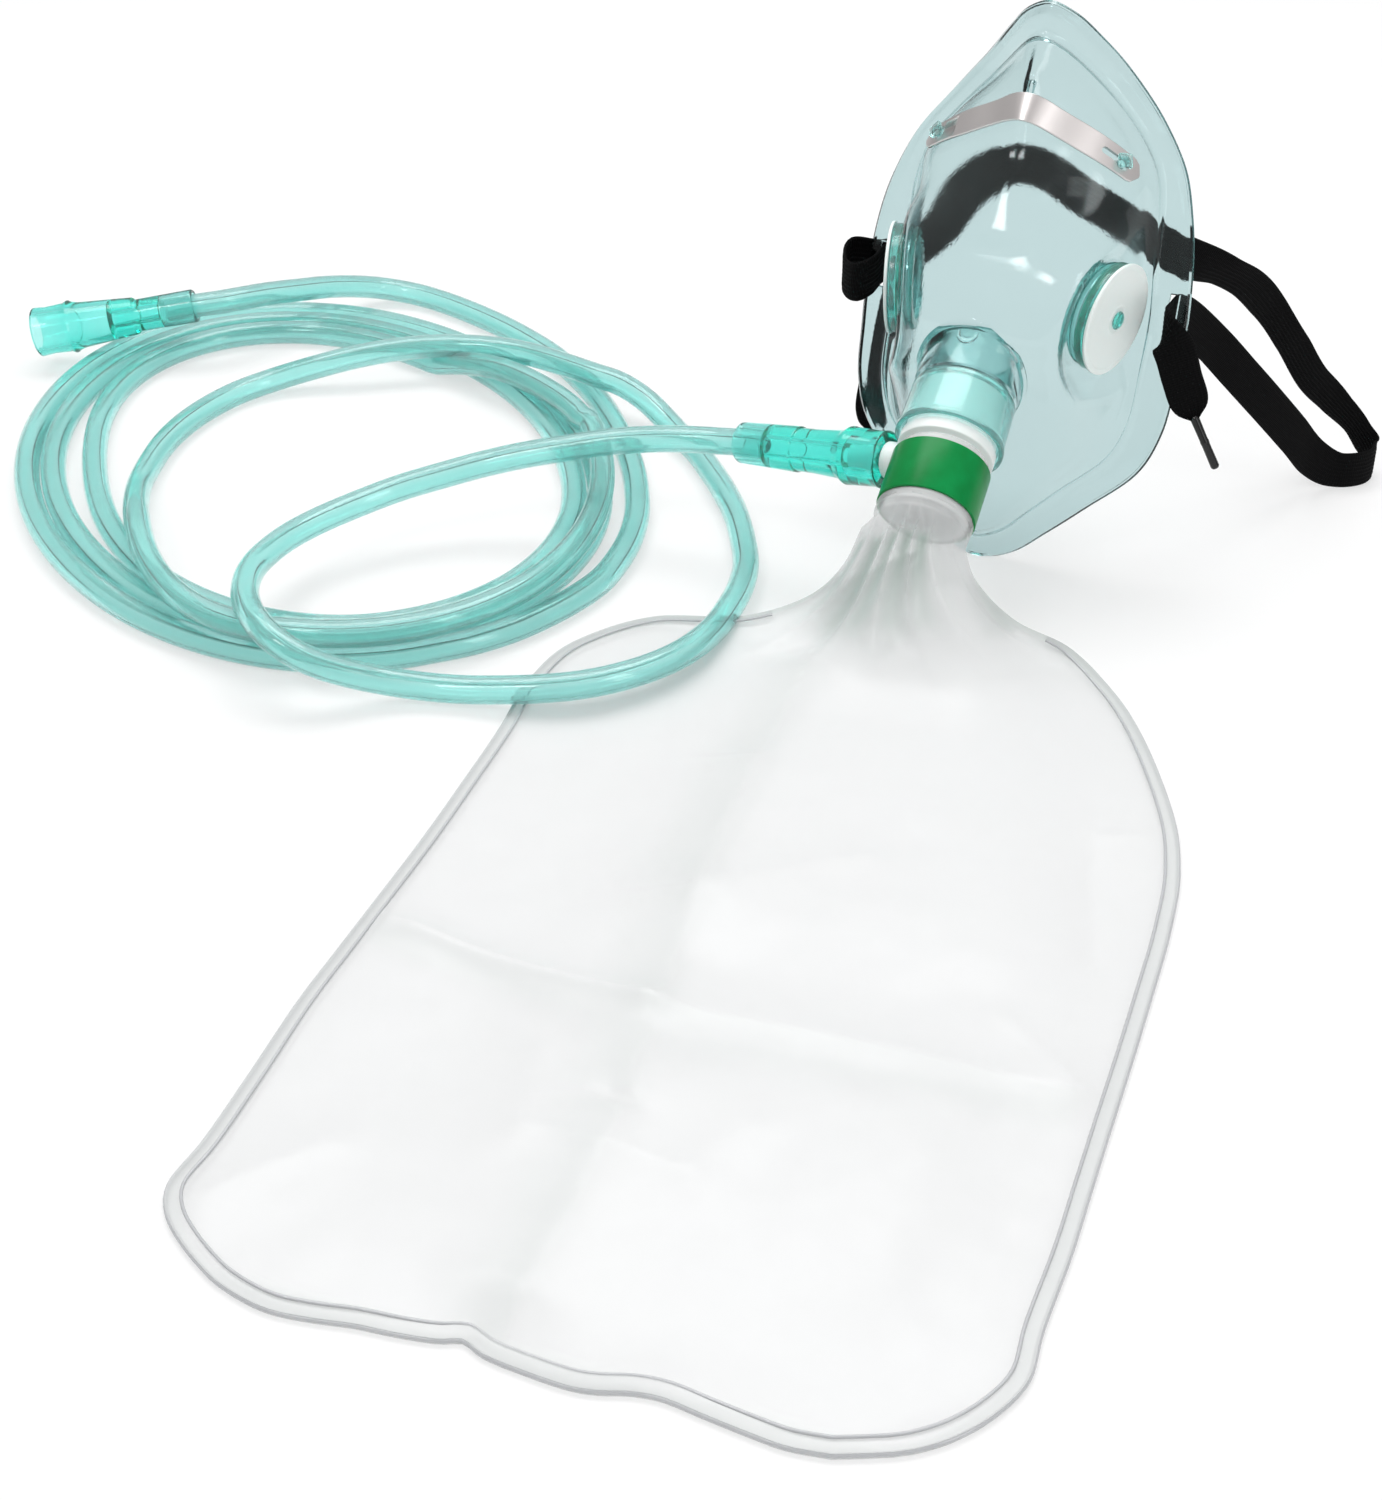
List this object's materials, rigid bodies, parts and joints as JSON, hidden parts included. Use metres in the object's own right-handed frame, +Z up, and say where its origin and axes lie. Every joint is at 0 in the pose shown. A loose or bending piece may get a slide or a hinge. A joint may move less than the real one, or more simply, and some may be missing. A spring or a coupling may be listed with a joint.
{
  "type": "oxygen face mask",
  "caption": "Clear high-concentration oxygen face mask with exhalation valves, nose clip, reservoir bag, elastic head strap and coiled supply tubing with push-fit connectors.",
  "frame": {"origin": "on the surface that the mask and bag lie on, in the middle of the box round the mask, strap and bag, without the tubing", "axes": "+Z up; the mask's mid-plane is parallel to Y-Z and its front looks toward -Y, where the bag lies; +X is the viewer's right, the tubing lies toward -X"},
  "size_m": [0.3867, 0.3821, 0.1332],
  "materials": {
    "clear_pvc": "clear moulded vinyl, glossy",
    "teal_plastic": "translucent moulded plastic, glossy",
    "white_plastic": "white moulded plastic, satin",
    "white_silicone": "thin silicone disc, satin",
    "green_band": "green plastic tape, satin",
    "bag_film": "clear film, glossy",
    "tubing": "clear teal tubing, glossy",
    "clip_aluminium": "satin",
    "elastic_black": "ribbed elastic, matte",
    "aglet_black": "crimped plastic tip"
  },
  "bodies": {
    "root": {"mask_shell": "clear_pvc", "exhale_valve_seat_right": "teal_plastic", "exhale_valve_seat_left": "teal_plastic", "exhale_valve_flap_right": "white_silicone", "exhale_valve_flap_left": "white_silicone", "nose_clip": "clip_aluminium", "port_collar": "teal_plastic", "reservoir_adapter": "white_plastic", "check_valve_flap": "white_silicone", "bag_band": "green_band", "reservoir_bag": "bag_film", "mask_tube_connector": "teal_plastic", "supply_connector": "teal_plastic", "tube_mask_side": "tubing", "tube_supply_side": "tubing", "tube_coil": "tubing", "head_strap": "elastic_black", "strap_tip_right": "aglet_black", "strap_tip_left": "aglet_black"}
  },
  "joints": []
}
